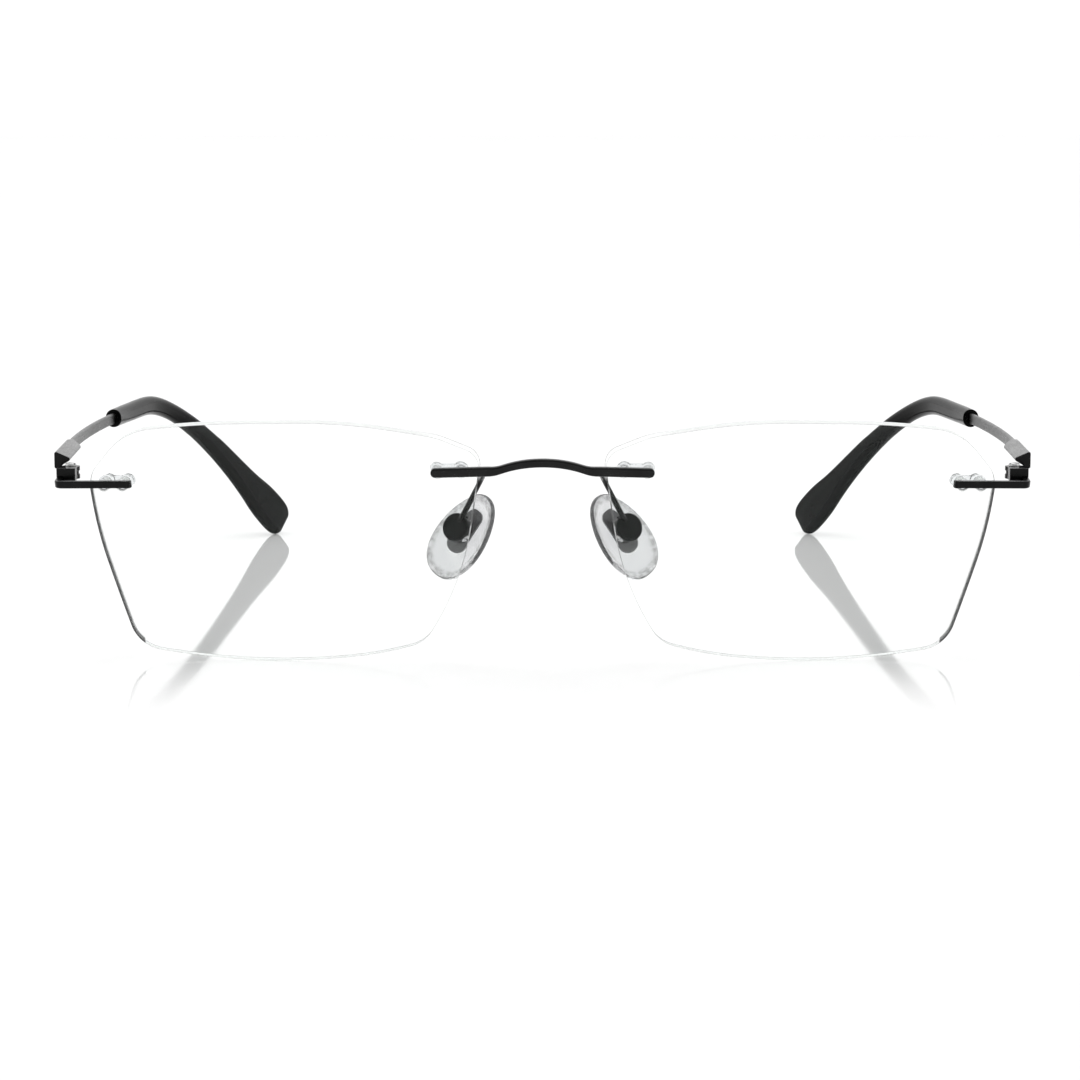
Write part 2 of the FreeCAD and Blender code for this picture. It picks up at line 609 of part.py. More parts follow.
def make_temple_tip(temple):
    path = temple_path()
    wires = []
    for distance, height, thickness in tip_sections():
        point, heading, up = frame_on_path(path, distance)
        wires.append(stadium(point, heading, up, height, thickness))
    return on_temple(Part.makeLoft(wires, True)).cut(temple)


# ---------------------------------------------------------------- nose pads

def pad_axes():
    """The pad's face normal, its long axis (downwards) and its short axis (forwards)."""
    splay = math.radians(PAD_SPLAY)
    frontal = math.radians(PAD_FRONTAL)
    inward = Vector(-math.cos(frontal), 0, -math.sin(frontal))
    normal = inward * math.sin(splay) + Vector(0, 1, 0) * math.cos(splay)
    long_axis = Vector(math.sin(frontal), 0, -math.cos(frontal))
    short_axis = inward * math.cos(splay) - Vector(0, 1, 0) * math.sin(splay)
    return normal, long_axis, short_axis


def pad_basis(turn):
    """A rotation from (x, y, z) to (screw axis, crosswise, pad normal)."""
    normal, long_axis, short_axis = pad_axes()
    angle = math.radians(turn)
    x_axis = short_axis * math.cos(angle) + long_axis * math.sin(angle)
    y_axis = normal.cross(x_axis)
    return FreeCAD.Rotation(x_axis, y_axis, normal, "ZXY")


def on_pad(shape, turn):
    moved = shape.copy()
    moved.Placement = FreeCAD.Placement(PAD_BOX_CENTRE, pad_basis(turn)).multiply(moved.Placement)
    return moved


def make_pad_box():
    """A shallow cup, slotted for the pad's lug, that the pad arm is soldered to."""
    low = -PAD_BOX_HEIGHT / 2
    high = PAD_BOX_HEIGHT / 2
    cup = cylinder(PAD_BOX_R, Vector(0, 0, low), Vector(0, 0, high))
    cup = cup.makeFillet(0.35, [edge for edge in cup.Edges if abs(edge.CenterOfMass.z - low) < 1e-6])
    half = PAD_SLOT / 2
    slot = box(Vector(-half, -3, low + PAD_BOX_WALL), Vector(half, 3, high + 1))
    hole_r = PAD_SCREW_R + 0.02
    hole = cylinder(hole_r, Vector(-3, 0, PAD_SCREW_LIFT), Vector(3, 0, PAD_SCREW_LIFT))
    head_start = Vector(PAD_SCREW_HEAD_START, 0, PAD_SCREW_LIFT)
    recess = cylinder(PAD_SCREW_HEAD_R + 0.04, head_start, Vector(3, 0, PAD_SCREW_LIFT))
    return on_pad(cup.cut(slot).cut(hole).cut(recess), PAD_SCREW_TURN)


def make_pad_screw():
    """A short screw across the box, with a slotted head sunk into its wall."""
    z = PAD_SCREW_LIFT
    end = PAD_SCREW_HEAD_START + 0.02
    shaft = cylinder(PAD_SCREW_R, Vector(-PAD_BOX_R + 0.25, 0, z), Vector(end, 0, z))
    top = PAD_BOX_R + 0.02
    head = cylinder(PAD_SCREW_HEAD_R, Vector(end, 0, z), Vector(top, 0, z))
    groove = box(Vector(top - 0.15, -0.1, z - 1), Vector(top + 1, 0.1, z + 1))
    return on_pad(shaft.fuse(head).removeSplitter().cut(groove), PAD_SCREW_TURN)


def make_pad_core():
    """A thin plate inside the pad with a lug that reaches back to the screw."""
    half_l = PAD_CORE_LENGTH / 2
    half_w = PAD_CORE_WIDTH / 2
    plate = prism(
        [(-half_w, -half_l, 1.2), (half_w, -half_l, 1.2), (half_w, half_l, 1.2), (-half_w, half_l, 1.2)],
        lambda a, b: Vector(a, b, PAD_TO_BOX - PAD_CORE_THICKNESS / 2), Vector(0, 0, PAD_CORE_THICKNESS))
    plate.rotate(Vector(0, 0, 0), Vector(0, 0, 1), PAD_SCREW_TURN)
    half_t = PAD_LUG_THICKNESS / 2
    z = PAD_SCREW_LIFT
    eye = cylinder(PAD_LUG_R, Vector(-half_t, 0, z), Vector(half_t, 0, z))
    neck = box(Vector(-half_t, -PAD_LUG_R, z), Vector(half_t, PAD_LUG_R, PAD_TO_BOX))
    hole = cylinder(PAD_SCREW_R + SCREW_CLEARANCE, Vector(-2, 0, z), Vector(2, 0, z))
    return on_pad(plate.fuse(eye.fuse(neck)).removeSplitter().cut(hole), PAD_SCREW_TURN)


def make_nose_pad(core):
    """A soft pad moulded round its core, wider at its lower end."""
    low = PAD_TO_BOX - PAD_THICKNESS / 2
    half_l = PAD_LENGTH / 2
    half_w = PAD_WIDTH / 2
    top = half_l - PAD_OFFSET
    bottom = -half_l - PAD_OFFSET
    narrow = half_w - 1.2
    outline = [
        (-half_w + 0.2, bottom, 3.3), (half_w - 0.2, bottom, 3.3), (half_w, -0.5, 14.0),
        (narrow, top, 2.3), (-narrow, top, 2.3), (-half_w, -0.5, 14.0),
    ]
    body = prism(outline, lambda a, b: Vector(a, b, low), Vector(0, 0, PAD_THICKNESS))
    rims = [edge for edge in body.Edges if edge.BoundBox.ZLength < 1e-6]
    body = body.makeFillet(0.8, rims)
    body.rotate(Vector(0, 0, 0), Vector(0, 0, 1), PAD_SCREW_TURN)
    return on_pad(body, PAD_SCREW_TURN).cut(core)


def make_pad_arm(bridge, pad_box):
    """A round wire from under the bridge to the pad box, with one soft knee."""
    start = PAD_ARM_START
    end = PAD_BOX_CENTRE - pad_axes()[0] * (PAD_BOX_HEIGHT / 2 - 0.3) - pad_axes()[1] * 1.2
    into = (start - PAD_ARM_KNEE).normalize()
    out = (end - PAD_ARM_KNEE).normalize()
    half = into.getAngle(out) / 2
    reach = PAD_ARM_KNEE_R / math.tan(half)
    first = PAD_ARM_KNEE + into * reach
    second = PAD_ARM_KNEE + out * reach
    axis = into.cross(out).normalize()
    centre = PAD_ARM_KNEE + (into + out).normalize() * (PAD_ARM_KNEE_R / math.sin(half))
    face = Part.Face(Part.Wire(Part.makeCircle(PAD_ARM_R, first, into)))
    knee = face.revolve(centre, axis, -(180 - math.degrees(2 * half)))
    wire = cylinder(PAD_ARM_R, start, first).fuse([knee, cylinder(PAD_ARM_R, second, end)])
    trimmed = wire.removeSplitter().cut(bridge).cut(pad_box)
    # The wire's ends are sunk into bar and box; only the stretch between them is kept.
    return max(trimmed.Solids, key=lambda solid: solid.Volume)


# ---------------------------------------------------------------- assembly

def build_left():
    """Every piece of the wearer's left side, by name without its side."""
    bridge = make_bridge()
    temple = make_temple()
    endpiece = make_endpiece()
    pad_core = make_pad_core()
    pad_box = make_pad_box()
    return bridge, {
        "lens": make_lens(),
        "bridge_bushing": on_bridge_mount(make_bushing(NASAL_POST_PITCH, -2.8, 2.6)),
        "endpiece_bushing": on_endpiece(make_bushing(TEMPORAL_POST_PITCH, -2.6, 2.75)),
        "pad_arm": make_pad_arm(bridge, pad_box),
        "pad_box": pad_box,
        "pad_screw": make_pad_screw(),
        "nose_pad": make_nose_pad(pad_core),
        "nose_pad_core": pad_core,
        "endpiece": endpiece,
        "hinge_fork": make_hinge_fork(endpiece),
        "hinge_screw": make_hinge_screw(),
        "hinge_slider": make_slider(),
        "slider_spring": make_slider_spring(),
        "slider_nut": make_slider_nut(),
        "spring_housing": make_housing(temple),
        "temple": temple,
        "temple_tip": make_temple_tip(temple),
    }


def all_parts():
    bridge, left = build_left()
    parts = {"bridge": bridge}
    for name, shape in left.items():
        parts[name + "_left"] = shape
        parts[name + "_right"] = mirrored(shape)
    front = parts["bridge"].optimalBoundingBox(True, False).YMin
    back = parts["temple_tip_left"].optimalBoundingBox(True, False).YMax
    for shape in parts.values():
        shape.translate(Vector(0, -(front + back) / 2, 0))
    return parts


def main():
    os.makedirs("parts", exist_ok=True)
    for name, shape in all_parts().items():
        solid = shape.Solids[0]
        if len(shape.Solids) != 1 or not solid.isValid():
            print("not one valid solid:", name)
        solid.exportStep("parts/" + name + ".step")
        size = solid.optimalBoundingBox(True, False)
        print(name, round(solid.Volume, 2), "mm3", [round(v, 2) for v in (
            size.XMin, size.XMax, size.YMin, size.YMax, size.ZMin, size.ZMax)])


main()
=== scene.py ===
"""Rimless eyeglasses on a white acrylic table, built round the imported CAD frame."""
import math

import bmesh
import bpy
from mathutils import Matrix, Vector


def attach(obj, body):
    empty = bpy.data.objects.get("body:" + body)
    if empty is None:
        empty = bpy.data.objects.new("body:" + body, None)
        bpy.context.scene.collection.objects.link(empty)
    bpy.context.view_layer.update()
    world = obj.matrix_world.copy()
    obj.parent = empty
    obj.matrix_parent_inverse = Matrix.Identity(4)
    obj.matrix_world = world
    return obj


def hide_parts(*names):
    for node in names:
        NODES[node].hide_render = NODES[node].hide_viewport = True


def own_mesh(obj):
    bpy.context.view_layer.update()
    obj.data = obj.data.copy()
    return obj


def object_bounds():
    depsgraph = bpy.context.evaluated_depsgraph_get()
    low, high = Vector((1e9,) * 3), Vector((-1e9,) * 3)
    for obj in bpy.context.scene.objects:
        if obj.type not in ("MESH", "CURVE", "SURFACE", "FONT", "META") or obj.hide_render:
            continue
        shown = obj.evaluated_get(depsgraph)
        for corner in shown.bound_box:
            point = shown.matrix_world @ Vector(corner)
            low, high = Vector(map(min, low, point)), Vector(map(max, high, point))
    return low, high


MM = 0.001
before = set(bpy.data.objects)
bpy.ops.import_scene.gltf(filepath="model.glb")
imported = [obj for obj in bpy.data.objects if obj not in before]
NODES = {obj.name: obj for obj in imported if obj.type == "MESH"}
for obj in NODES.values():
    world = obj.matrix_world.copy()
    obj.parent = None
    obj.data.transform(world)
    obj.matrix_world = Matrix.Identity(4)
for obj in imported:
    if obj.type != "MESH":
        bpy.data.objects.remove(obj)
CAD_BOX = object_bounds()
SIDES = ("left", "right")

# ---- camera: the photograph's viewing angle, with the lenses' front edge as the nearest point ----
CAMERA_BEFORE_FRONT = 419.5 * MM   # from the foremost point of the glasses to the camera
CAMERA_HEIGHT = 80.4 * MM
CAMERA_SIDE = -0.36 * MM
CAMERA_PITCH = 8.4                 # degrees below the horizon
CAMERA_LENS = 100                  # millimetres, on the default 36 mm sensor
CAMERA_REACH = (0.01, 30)          # the nearest and furthest that it sees

# ---- lenses ----
LENS_INDEX = 1.5
LENS_WRAP = 5.0                    # degrees, as in the CAD
PANTOSCOPIC = 8.0                  # degrees, as in the CAD
COATING_LEAVES = 0.25              # part of the bare glass's reflection
TOTAL_REFLECTION = 0.99            # Fresnel factors above this are total reflection
LENS_BEVEL = 0.19 * MM
GROUND_EDGE = 0.9                  # grey of the ground edge
BEVEL_SHADE_GREY = 0.16                  # grey of its front bevel, painted shade for the dark line that the bevel's refraction shows
# grey of the black painted shade on the edge's temple side, where the glass would show dark surroundings
EDGE_SHADE_BLACK = 0.012
# strength of the painted glow on the ground edge, standing in for light that the lens pipes to it
PAINTED_EDGE_GLOW = 0.2
SHADED_EDGE_X = 57.6 * MM         # the edge's black painted shade lies further out than this
SHADED_EDGE_TOP = 25.4 * MM       # and below this, under the endpiece's bar
EDGE_LAP = 0.75 * MM              # the painted shade laps about half this far onto the faces
LAP_FROM = 0.3                     # edge mask values above this are within that lap
POLISHED_EDGE_X = 14 * MM          # nearer the nose than this, the edge is polished clear
POLISH_FADE = 4 * MM               # and over this width it turns into the ground edge

# ---- nose pads; both angles as in the CAD ----
PAD_SPLAY = 32.0                   # degrees between the pad's face normal and straight back
PAD_FRONTAL = 34.5                 # degrees that its long axis leans from vertical
PAD_TAPER = 0.15                   # the lower end is wider by about this share, the upper narrower
PAD_FULLNESS = 0.88                # below 1, the outline is fuller than an ellipse
PAD_POINTS = 28                    # points round each ring
PAD_RIM_SHARE = 0.83               # rings wider than this belong to the rim, which gets painted shade
# Rings from the middle of the face over the rim to the back: (part of the outline, part of the thickness).
PAD_RINGS = [
    (0.0, 0.50), (0.3, 0.49), (0.58, 0.44), (0.8, 0.34), (0.93, 0.2), (1.0, 0.0), (0.97, -0.24),
    (0.91, -0.38), (0.84, -0.36), (0.79, -0.24), (0.66, -0.22), (0.45, -0.24), (0.38, -0.30),
    (0.35, -0.48), (0.31, -0.54), (0.0, -0.54),
]

# ---- the table; its gloss fades towards the camera ----
TABLE_SIZE = 12.0
TABLE_GAP = 0.05 * MM              # between the table's top and the glasses
GLOSS_BACK_Y = -46 * MM            # full gloss behind this
GLOSS_FRONT_Y = -108 * MM          # no gloss before this
GLOSS_MOST = 0.5

# ---- light ----
TENT_BRIGHT = 1.15
TENT_DARK = 0.3                    # in the upper front
SOFTBOX_SIZE = (0.8, 0.6)
SOFTBOX_POWER = 2.0                # watts
SOFTBOX_PLACE = (0, 0.25, 0.9)     # above and behind the glasses
SOFTBOX_TILT = -15                 # degrees, towards the camera


# ---------------------------------------------------------------- node helpers

def new_material(name):
    """An empty node material and its Principled shader, wired to the output."""
    material = bpy.data.materials.new(name)
    material.use_nodes = True
    tree = material.node_tree
    shader = tree.nodes["Principled BSDF"]
    return material, tree, shader


def node(tree, kind, inputs=None, **settings):
    """A new node. settings are its properties; inputs maps socket names to values or sockets."""
    made = tree.nodes.new(kind)
    for name, value in settings.items():
        setattr(made, name, value)
    for name, value in (inputs or {}).items():
        if isinstance(value, bpy.types.NodeSocket):
            tree.links.new(value, made.inputs[name])
        else:
            made.inputs[name].default_value = value
    return made


def grain(tree, scale, detail=3.0, roughness=0.55, stretch=(1, 1, 1)):
    """Noise in the object's own metres. scale is in features per metre."""
    place = node(tree, "ShaderNodeTexCoord").outputs["Object"]
    mapping = node(tree, "ShaderNodeMapping", {"Vector": place, "Scale": stretch})
    return node(tree, "ShaderNodeTexNoise", {
        "Vector": mapping.outputs["Vector"], "Scale": scale, "Detail": detail,
        "Roughness": roughness}).outputs["Fac"]


def spread(tree, value, low, high, from_low=0.3, from_high=0.7):
    """value, stretched from its usual range to low..high."""
    return node(tree, "ShaderNodeMapRange", {
        "Value": value, "From Min": from_low, "From Max": from_high, "To Min": low,
        "To Max": high}).outputs["Result"]


def mix_colour(tree, factor, first, second):
    mixed = node(tree, "ShaderNodeMix", data_type="RGBA")
    for socket, value in ((0, factor), (6, first), (7, second)):
        if isinstance(value, bpy.types.NodeSocket):
            tree.links.new(value, mixed.inputs[socket])
        else:
            mixed.inputs[socket].default_value = value
    return mixed.outputs[2]


def mix_shaders(tree, factor, first, second):
    return node(tree, "ShaderNodeMixShader", {0: factor, 1: first, 2: second}).outputs[0]


def grey(value):
    return (value, value, value, 1.0)


def math_node(tree, operation, first, second=0.0):
    return node(tree, "ShaderNodeMath", {0: first, 1: second}, operation=operation).outputs[0]


def edge_mask(tree, radius):
    """About 1 along the edges that wear rubs, and 0 on the faces between them."""
    rounded = node(tree, "ShaderNodeBevel", {"Radius": radius}, samples=6)
    geometry = node(tree, "ShaderNodeNewGeometry")
    along = node(tree, "ShaderNodeVectorMath", {
        0: rounded.outputs["Normal"], 1: geometry.outputs["Normal"]}, operation="DOT_PRODUCT")
    return spread(tree, along.outputs["Value"], 1.0, 0.0, 0.86, 0.995)


def bumped(tree, shader, height, strength, distance, normal=None):
    """Gives the shader a bump, on top of the rounded normal where there is one."""
    inputs = {"Height": height, "Strength": strength, "Distance": distance}
    if normal is not None:
        inputs["Normal"] = normal
    made = node(tree, "ShaderNodeBump", inputs)
    tree.links.new(made.outputs["Normal"], shader.inputs["Normal"])


# ---------------------------------------------------------------- materials

def plated_metal(name, dark, worn, rough, brushed=(1, 1, 1)):
    """Dark plated metal: cloudy plating, fine brushing and slightly polished edges."""
    material, tree, shader = new_material(name)
    cloud = grain(tree, 350, 4)
    brush = grain(tree, 5200, 3, 0.6, brushed)
    wear = math_node(tree, "MULTIPLY", edge_mask(tree, 0.12 * MM), spread(tree, cloud, 0.2, 1.0))
    plating = mix_colour(tree, spread(tree, cloud, 0, 1), grey(dark * 0.8), grey(dark * 1.15))
    shader.inputs["Metallic"].default_value = 1.0
    tree.links.new(mix_colour(tree, wear, plating, grey(worn)), shader.inputs["Base Color"])
    roughness = math_node(tree, "ADD", spread(tree, brush, rough * 0.85, rough * 1.15),
                          spread(tree, cloud, -0.03, 0.03))
    roughness = math_node(tree, "SUBTRACT", roughness, math_node(tree, "MULTIPLY", wear, rough * 0.3))
    tree.links.new(roughness, shader.inputs["Roughness"])
    rounded = node(tree, "ShaderNodeBevel", {"Radius": 0.06 * MM}, samples=6).outputs["Normal"]
    bumped(tree, shader, brush, 0.07, 0.006 * MM, rounded)
    return material


def bare_steel(name, colour, rough, brushed=(1, 1, 1)):
    """Turned or ground stainless steel with fine tool marks."""
    material, tree, shader = new_material(name)
    marks = grain(tree, 4200, 2, 0.5, brushed)
    cloud = grain(tree, 500, 3)
    tint = mix_colour(tree, spread(tree, cloud, 0, 1), grey(colour * 0.85), grey(colour))
    tree.links.new(tint, shader.inputs["Base Color"])
    shader.inputs["Metallic"].default_value = 1.0
    tree.links.new(spread(tree, marks, rough * 0.8, rough * 1.3), shader.inputs["Roughness"])
    rounded = node(tree, "ShaderNodeBevel", {"Radius": 0.05 * MM}, samples=6).outputs["Normal"]
    bumped(tree, shader, marks, 0.15, 0.008 * MM, rounded)
    return material


def clear_plastic(name, tint, rough, index):
    """Clear moulded plastic with faint flow lines and a slightly uneven surface."""
    material, tree, shader = new_material(name)
    flow = grain(tree, 700, 2, 0.5, (1, 1, 3))
    shader.inputs["Base Color"].default_value = tint
    shader.inputs["Transmission Weight"].default_value = 1.0
    shader.inputs["IOR"].default_value = index
    tree.links.new(spread(tree, flow, rough * 0.5, rough * 1.5), shader.inputs["Roughness"])
    bumped(tree, shader, flow, 0.1, 0.02 * MM)
    return material


def lens_axis(side):
    """Straight through the lens, from its front to its back."""
    wrap = math.radians(LENS_WRAP if side == "left" else -LENS_WRAP)
    lean = math.radians(PANTOSCOPIC)
    return (-math.sin(wrap), math.cos(wrap) * math.cos(lean), math.cos(wrap) * math.sin(lean))


def coated_clear(tree):
    """Clear glass with the weak reflection that its coating leaves, faintly smeared."""
    smear = grain(tree, 120, 5, 0.6, (1, 1, 0.4))
    bending = node(tree, "ShaderNodeBsdfRefraction", {
        "Color": (0.995, 1.0, 0.998, 1), "Roughness": 0.0, "IOR": LENS_INDEX}).outputs[0]
    mirror = node(tree, "ShaderNodeBsdfGlossy", {
        "Color": (0.9, 0.96, 0.93, 1), "Roughness": spread(tree, smear, 0.0, 0.05, 0.45, 0.75)}).outputs[0]
    # The coating leaves only a small part of the bare glass's reflection, except where it is total.
    fresnel = node(tree, "ShaderNodeFresnel", {"IOR": LENS_INDEX}).outputs["Fac"]
    total = math_node(tree, "GREATER_THAN", fresnel, TOTAL_REFLECTION)
    coated = math_node(tree, "MULTIPLY", fresnel, COATING_LEAVES)
    return mix_shaders(tree, math_node(tree, "MAXIMUM", coated, total), bending, mirror)


def ground_edge(tree, bevel):
    """Fine-ground glass with painted shade on its bevel, and a painted glow standing in for the light that
    the lens pipes to it.
    """
    # Painted shade: the bevel is greyer than the ground edge, for the dark line its refraction shows.
    ground = mix_colour(tree, bevel, grey(GROUND_EDGE), grey(BEVEL_SHADE_GREY))
    grit = spread(tree, grain(tree, 3500, 2), 0.35, 0.6)
    matt = node(tree, "ShaderNodeBsdfDiffuse", {"Color": ground}).outputs[0]
    through = node(tree, "ShaderNodeBsdfTranslucent", {"Color": ground}).outputs[0]
    frosted = mix_shaders(tree, grit, matt, through)
    # Painted glow: an emission standing in for light piped along the glass.
    painted_glow = node(tree, "ShaderNodeEmission", {"Color": ground, "Strength": PAINTED_EDGE_GLOW}).outputs[0]
    return node(tree, "ShaderNodeAddShader", {0: frosted, 1: painted_glow}).outputs[0]


def lens_glass(side):
    """Clear coated lens with a fine-ground edge, and black painted shade on the edge's temple side below
    the bar.
    """
    material, tree, _ = new_material("lens_" + side)
    coordinates = node(tree, "ShaderNodeTexCoord")
    facing = node(tree, "ShaderNodeVectorMath", {
        0: coordinates.outputs["Normal"], 1: lens_axis(side)}, operation="DOT_PRODUCT").outputs["Value"]
    front = math_node(tree, "LESS_THAN", facing, -0.5)
    back = math_node(tree, "GREATER_THAN", facing, 0.5)
    wall = math_node(tree, "LESS_THAN", math_node(tree, "ABSOLUTE", facing), 0.5)
    bevel = math_node(tree, "MULTIPLY", front, edge_mask(tree, LENS_BEVEL))
    lap = math_node(tree, "GREATER_THAN", edge_mask(tree, EDGE_LAP), LAP_FROM)

    place = node(tree, "ShaderNodeSeparateXYZ", {"Vector": coordinates.outputs["Object"]})
    outward = math_node(tree, "ABSOLUTE", place.outputs["X"])
    # Black painted shade on the temple side of the edge below the bar, lapping onto the faces.
    stretch = math_node(tree, "MULTIPLY", math_node(tree, "GREATER_THAN", outward, SHADED_EDGE_X),
                        math_node(tree, "LESS_THAN", place.outputs["Z"], SHADED_EDGE_TOP))
    edge_shade = math_node(tree, "MULTIPLY", stretch, math_node(tree, "MAXIMUM", wall, lap))
    black = node(tree, "ShaderNodeBsdfPrincipled", {
        "Base Color": grey(EDGE_SHADE_BLACK), "Roughness": 0.45}).outputs[0]
    rim = mix_shaders(tree, edge_shade, ground_edge(tree, bevel), black)
    edge = math_node(tree, "MAXIMUM", math_node(tree, "MAXIMUM", wall, bevel), edge_shade)
    body = mix_shaders(tree, edge, coated_clear(tree), rim)

    # At the nose side the edge is polished clear, and so is the back face's lap there.
    nose_side = spread(tree, outward, 1.0, 0.0, POLISHED_EDGE_X, POLISHED_EDGE_X + POLISH_FADE)
    see_through = math_node(tree, "MAXIMUM", wall, math_node(tree, "MULTIPLY", back, lap))
    polished = math_node(tree, "MULTIPLY", see_through, nose_side)
    # Light passes straight through a lens on its way to the table.
    shadow = node(tree, "ShaderNodeLightPath").outputs["Is Shadow Ray"]
    open_way = node(tree, "ShaderNodeBsdfTransparent").outputs[0]
    whole = mix_shaders(tree, math_node(tree, "MAXIMUM", shadow, polished), body, open_way)
    tree.links.new(whole, tree.nodes["Material Output"].inputs["Surface"])
    return material


def tip_plastic():
    """Polished black plastic with fine rubbing marks."""
    material, tree, shader = new_material("tip_black")
    cloud = grain(tree, 90, 4)
    rubs = grain(tree, 1500, 3, 0.6, (1, 0.25, 1))
    shade = mix_colour(tree, spread(tree, cloud, 0, 1), grey(0.0015), grey(0.003))
    tree.links.new(shade, shader.inputs["Base Color"])
    roughness = math_node(tree, "ADD", spread(tree, rubs, 0.12, 0.2), spread(tree, cloud, -0.02, 0.04))
    tree.links.new(roughness, shader.inputs["Roughness"])
    shader.inputs["IOR"].default_value = 1.45
    shader.inputs["Specular IOR Level"].default_value = 0.05
    bumped(tree, shader, rubs, 0.02, 0.003 * MM)
    return material


def silicone():
    """Translucent silicone: cloudy inside, with streaks of painted shade in the rim, and a soft sheen."""
    material, tree, shader = new_material("pad_silicone")
    cloud = grain(tree, 260, 3)
    pores = grain(tree, 5200, 2)
    tint = mix_colour(tree, spread(tree, cloud, 0, 1), (0.68, 0.69, 0.7, 1), (0.78, 0.785, 0.79, 1))
    rim = node(tree, "ShaderNodeAttribute", attribute_name="rim").outputs["Fac"]
    # Painted shade: darker streaks in the rim, for the dark edge that the pad's refraction shows.
    rim_shade_streaks = math_node(tree, "MULTIPLY", rim, spread(tree, grain(tree, 1500, 3), 0.1, 1.0, 0.38, 0.62))
    tree.links.new(mix_colour(tree, rim_shade_streaks, tint, grey(0.34)), shader.inputs["Base Color"])
    shader.inputs["Transmission Weight"].default_value = 0.93
    shader.inputs["IOR"].default_value = 1.41
    tree.links.new(spread(tree, cloud, 0.06, 0.13), shader.inputs["Roughness"])
    bumped(tree, shader, pores, 0.06, 0.01 * MM)
    return material


def core_plastic():
    """Grey moulded plate inside a pad."""
    material, tree, shader = new_material("pad_core_grey")
    cloud = grain(tree, 900, 3)
    tint = mix_colour(tree, spread(tree, cloud, 0, 1), grey(0.1), grey(0.16))
    tree.links.new(tint, shader.inputs["Base Color"])
    tree.links.new(spread(tree, cloud, 0.3, 0.45), shader.inputs["Roughness"])
    bumped(tree, shader, cloud, 0.1, 0.02 * MM)
    return material


def paint(material, *names):
    """Gives a material to CAD nodes, once per side where a name has two sides."""
    for name in names:
        for whole in (name, name + "_left", name + "_right"):
            if whole in NODES:
                NODES[whole].data.materials.clear()
                NODES[whole].data.materials.append(material)


def paint_frame():
    paint(plated_metal("bridge_gunmetal", 0.02, 0.07, 0.24, (0.15, 1, 1)), "bridge")
    paint(plated_metal("front_gunmetal", 0.014, 0.05, 0.24), "endpiece", "hinge_fork", "hinge_slider")
    paint(plated_metal("arm_gunmetal", 0.014, 0.04, 0.3), "pad_arm")
    paint(plated_metal("box_gunmetal", 0.009, 0.05, 0.34), "pad_box")
    paint(plated_metal("temple_gunmetal", 0.018, 0.05, 0.3, (1, 0.08, 1)), "temple")
    paint(plated_metal("housing_gunmetal", 0.045, 0.09, 0.27, (1, 0.08, 1)), "spring_housing")
    paint(bare_steel("screw_steel", 0.6, 0.18), "hinge_screw", "pad_screw")
    paint(bare_steel("nut_steel", 0.5, 0.28, (1, 0.1, 1)), "slider_nut")
    paint(clear_plastic("bushing_clear", (0.86, 0.87, 0.88, 1), 0.05, 1.49), "bridge_bushing",
          "endpiece_bushing")
    for side in SIDES:
        paint(lens_glass(side), "lens_" + side)
    paint(core_plastic(), "nose_pad_core")
    paint(tip_plastic(), "temple_tip")


# ---------------------------------------------------------------- nose pads

def pad_axes(side):
    """The pad's short axis, its long axis (upwards) and its face normal."""
    sign = 1 if side == "left" else -1
    splay = math.radians(PAD_SPLAY)
    frontal = math.radians(PAD_FRONTAL)
    inward = Vector((-math.cos(frontal) * sign, 0, -math.sin(frontal)))
    normal = inward * math.sin(splay) + Vector((0, math.cos(splay), 0))
    long_axis = Vector((-math.sin(frontal) * sign, 0, math.cos(frontal)))
    return long_axis.cross(normal), long_axis, normal


def egg(turn, half_width, half_length):
    """A point on the pad's outline; turn 0 is its narrow upper end."""
    along = math.cos(turn)
    across = math.copysign(abs(math.sin(turn)) ** PAD_FULLNESS, math.sin(turn))
    return across * half_width * (1 - PAD_TAPER * along), along * half_length


def size_along(name, axes):
    """The middle of a CAD node, and its half size along each of three axes."""
    points = [vertex.co for vertex in NODES[name].data.vertices]
    middle = Vector()
    halves = []
    for axis in axes:
        reach = [point.dot(axis) for point in points]
        middle += axis * (min(reach) + max(reach)) / 2
        halves.append((max(reach) - min(reach)) / 2)
    return middle, halves


def pad_rings(mesh, side):
    """The pad's rings of vertices, from the middle of its face round to the middle of its back."""
    axes = pad_axes(side)
    middle, (half_width, half_length, half_thickness) = size_along("nose_pad_" + side, axes)
    rim = mesh.verts.layers.float.new("rim")
    rings = []
    for share, height in PAD_RINGS:
        lift = axes[2] * height * 2 * half_thickness
        if share == 0:
            rings.append([mesh.verts.new(middle + lift)])
            continue
        ring = []
        for i in range(PAD_POINTS):
            across, along = egg(2 * math.pi * i / PAD_POINTS, half_width, half_length)
            corner = mesh.verts.new(middle + (axes[0] * across + axes[1] * along) * share + lift)
            corner[rim] = 1.0 if share > PAD_RIM_SHARE else 0.0
            ring.append(corner)
        rings.append(ring)
    return rings


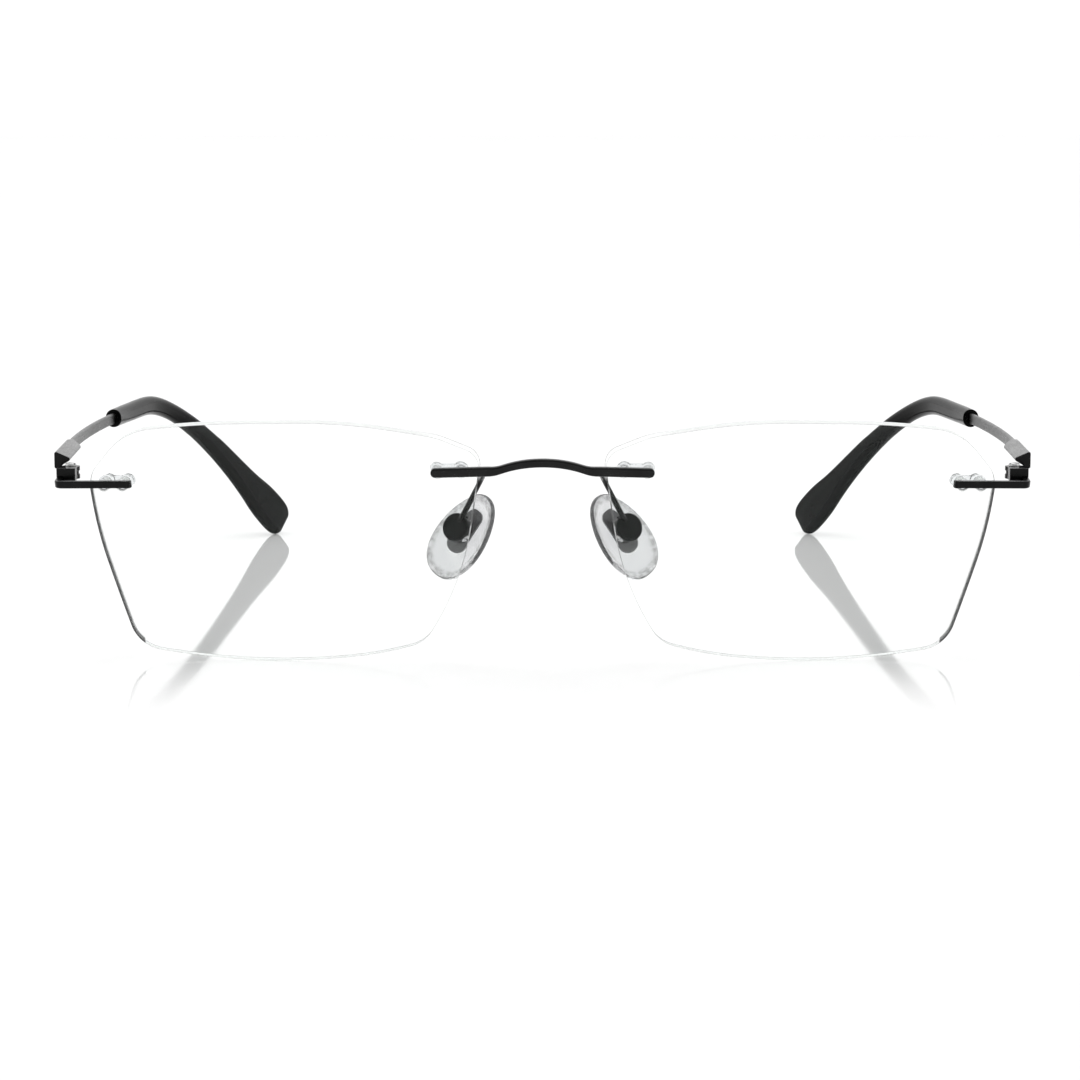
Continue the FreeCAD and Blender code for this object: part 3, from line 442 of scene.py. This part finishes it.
def make_pad(side, material):
    """A crowned egg-shaped pad with a low socket on its back where the core's lug comes out."""
    mesh = bmesh.new()
    rings = pad_rings(mesh, side)
    for first, second in zip(rings, rings[1:]):
        for i in range(PAD_POINTS):
            corners = [first[i % len(first)], first[(i + 1) % len(first)],
                       second[(i + 1) % len(second)], second[i % len(second)]]
            mesh.faces.new(list(dict.fromkeys(corners)))
    bmesh.ops.recalc_face_normals(mesh, faces=mesh.faces)
    for face in mesh.faces:
        face.smooth = True
    data = bpy.data.meshes.new("silicone_pad_" + side)
    mesh.to_mesh(data)
    mesh.free()
    data.materials.append(material)
    pad = bpy.data.objects.new("silicone_pad_" + side, data)
    bpy.context.scene.collection.objects.link(pad)
    smooth = pad.modifiers.new("smooth", "SUBSURF")
    smooth.levels = 2
    smooth.render_levels = 2
    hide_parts("nose_pad_" + side)
    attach(pad, "pad_" + side)


# ---------------------------------------------------------------- hinge springs

def make_spring(side, material):
    """The compression spring in a housing."""
    name = "slider_spring_" + side
    spring = bpy.data.objects.new("coil_spring_" + side, NODES[name].data.copy())
    bpy.context.scene.collection.objects.link(spring)
    spring.data.materials.clear()
    spring.data.materials.append(material)
    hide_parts(name)
    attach(spring, "slider_" + side)
    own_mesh(spring)


# ---------------------------------------------------------------- stage, light and camera

def make_world():
    """A white light tent: bright all round, darker in the upper front where the camera looks in."""
    world = bpy.data.worlds.new("tent")
    world.use_nodes = True
    tree = world.node_tree
    background = tree.nodes["Background"]
    direction = node(tree, "ShaderNodeTexCoord").outputs["Generated"]
    parts = node(tree, "ShaderNodeSeparateXYZ", {"Vector": direction})
    forward = spread(tree, parts.outputs["Y"], 1.0, 0.0, -0.75, -0.1)
    above = spread(tree, parts.outputs["Z"], 0.0, 1.0, 0.03, 0.25)
    below_top = spread(tree, parts.outputs["Z"], 1.0, 0.0, 0.6, 0.95)
    dark = math_node(tree, "MULTIPLY", math_node(tree, "MULTIPLY", forward, above), below_top)
    strength = spread(tree, dark, TENT_BRIGHT, TENT_DARK, 0.0, 1.0)
    tree.links.new(strength, background.inputs["Strength"])
    background.inputs["Color"].default_value = (1.0, 1.0, 1.0, 1)
    bpy.context.scene.world = world


def floor_material():
    """White acrylic: a bright matt body under a gloss that fades towards the front of the table."""
    material, tree, _ = new_material("white_acrylic")
    cloud = grain(tree, 6, 2)
    place = node(tree, "ShaderNodeSeparateXYZ", {
        "Vector": node(tree, "ShaderNodeNewGeometry").outputs["Position"]})
    fade = node(tree, "ShaderNodeMapRange", {
        "Value": place.outputs["Y"], "From Min": GLOSS_FRONT_Y, "From Max": GLOSS_BACK_Y,
        "To Min": 0.0, "To Max": GLOSS_MOST}, interpolation_type="SMOOTHSTEP").outputs["Result"]
    matt = node(tree, "ShaderNodeBsdfDiffuse", {"Color": grey(0.9)})
    gloss = node(tree, "ShaderNodeBsdfGlossy", {
        "Color": grey(0.97), "Roughness": spread(tree, cloud, 0.03, 0.06)})
    both = mix_shaders(tree, fade, matt.outputs[0], gloss.outputs[0])
    tree.links.new(both, tree.nodes["Material Output"].inputs["Surface"])
    return material


def make_floor():
    bpy.ops.mesh.primitive_plane_add(size=TABLE_SIZE, location=(0, 0, -TABLE_GAP))
    floor = bpy.context.active_object
    floor.name = "table_top"
    floor.data.materials.append(floor_material())


def make_softbox():
    light = bpy.data.lights.new("softbox", "AREA")
    light.shape = "RECTANGLE"
    light.size, light.size_y = SOFTBOX_SIZE
    light.energy = SOFTBOX_POWER
    lamp = bpy.data.objects.new("softbox", light)
    lamp.location = SOFTBOX_PLACE
    lamp.rotation_euler = (math.radians(SOFTBOX_TILT), 0, 0)
    bpy.context.scene.collection.objects.link(lamp)


def make_camera():
    data = bpy.data.cameras.new("camera")
    data.lens = CAMERA_LENS
    data.clip_start, data.clip_end = CAMERA_REACH
    camera = bpy.data.objects.new("camera", data)
    camera.location = (CAMERA_SIDE, CAD_BOX[0].y - CAMERA_BEFORE_FRONT, CAMERA_HEIGHT)
    camera.rotation_euler = (math.radians(90 - CAMERA_PITCH), 0, 0)
    bpy.context.scene.collection.objects.link(camera)
    bpy.context.scene.camera = camera


# ---------------------------------------------------------------- the scene

bpy.context.scene.view_settings.view_transform = "Standard"
make_camera()
make_world()
make_floor()
make_softbox()
paint_frame()
pad_material = silicone()
spring_material = bare_steel("spring_steel", 0.45, 0.3)
for one_side in SIDES:
    make_pad(one_side, pad_material)
    make_spring(one_side, spring_material)
